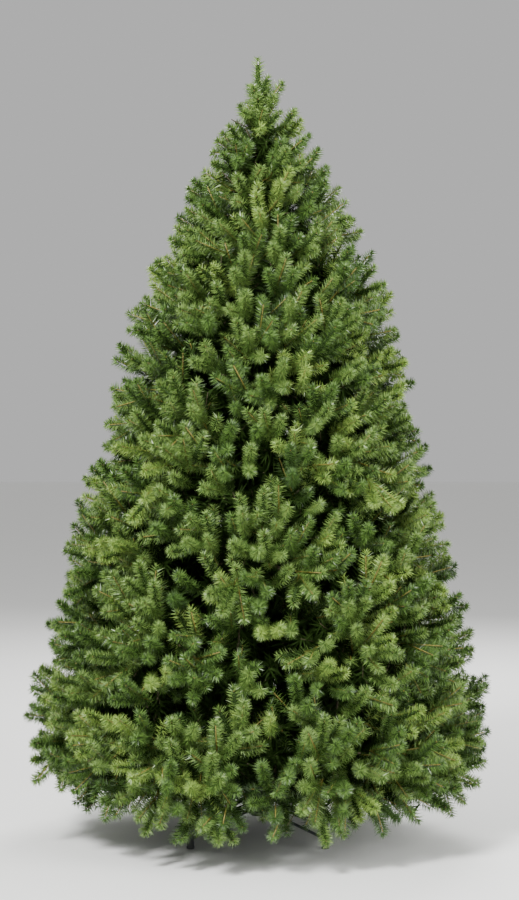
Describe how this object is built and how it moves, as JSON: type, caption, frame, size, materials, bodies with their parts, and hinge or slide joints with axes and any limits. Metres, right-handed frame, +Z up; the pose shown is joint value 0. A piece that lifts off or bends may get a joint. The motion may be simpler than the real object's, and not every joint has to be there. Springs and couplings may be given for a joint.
{
  "type": "artificial spruce christmas tree",
  "caption": "Artificial spruce with dense rounded needle tips on wired boughs round a steel pole, standing in a folding steel stand with rubber feet; undecorated.",
  "frame": {"origin": "on the floor under the middle of the pole, which is the middle of the tree's outline", "axes": "+Z up along the pole; -Y towards the viewer; +X to the right"},
  "size_m": [1.3356, 1.2786, 2.25],
  "materials": {
    "foliage": "moulded matte green needles",
    "wrapped_wire": "steel wire wrapped in brown and green tape",
    "pole_paint": "dark green powder coat",
    "stand_paint": "black powder coat",
    "foot_rubber": "matte grey rubber"
  },
  "bodies": {
    "root": {"pole": "pole_paint", "bough_1_1": "wrapped_wire", "bough_1_2": "wrapped_wire", "bough_1_3": "wrapped_wire", "bough_1_4": "wrapped_wire", "bough_1_5": "wrapped_wire", "bough_1_6": "wrapped_wire", "bough_2_1": "wrapped_wire", "bough_2_2": "wrapped_wire", "bough_2_3": "wrapped_wire", "bough_2_4": "wrapped_wire", "bough_2_5": "wrapped_wire", "bough_3_1": "wrapped_wire", "bough_3_2": "wrapped_wire", "bough_3_3": "wrapped_wire", "bough_3_4": "wrapped_wire", "bough_3_5": "wrapped_wire", "foliage_1_1": "foliage", "foliage_1_2": "foliage", "foliage_1_3": "foliage", "foliage_1_4": "foliage", "foliage_1_5": "foliage", "foliage_1_6": "foliage", "foliage_2_1": "foliage", "foliage_2_2": "foliage", "foliage_2_3": "foliage", "foliage_2_4": "foliage", "foliage_2_5": "foliage", "foliage_3_1": "foliage", "foliage_3_2": "foliage", "foliage_3_3": "foliage", "foliage_3_4": "foliage", "foliage_3_5": "foliage", "foliage_4_1": "foliage", "foliage_4_2": "foliage", "foliage_4_3": "foliage", "foliage_4_4": "foliage", "foliage_4_5": "foliage", "foliage_5_1": "foliage", "foliage_5_2": "foliage", "foliage_5_3": "foliage", "foliage_5_4": "foliage", "foliage_6_1": "foliage", "foliage_6_2": "foliage", "foliage_6_3": "foliage", "foliage_6_4": "foliage", "foliage_7_1": "foliage", "foliage_7_2": "foliage", "foliage_7_3": "foliage", "foliage_leader": "foliage", "stand_hub": "stand_paint", "stand_leg_1": "stand_paint", "stand_leg_2": "stand_paint", "stand_leg_3": "stand_paint", "stand_leg_4": "stand_paint", "stand_foot_1": "foot_rubber", "stand_foot_2": "foot_rubber", "stand_foot_3": "foot_rubber", "stand_foot_4": "foot_rubber"}
  },
  "joints": []
}
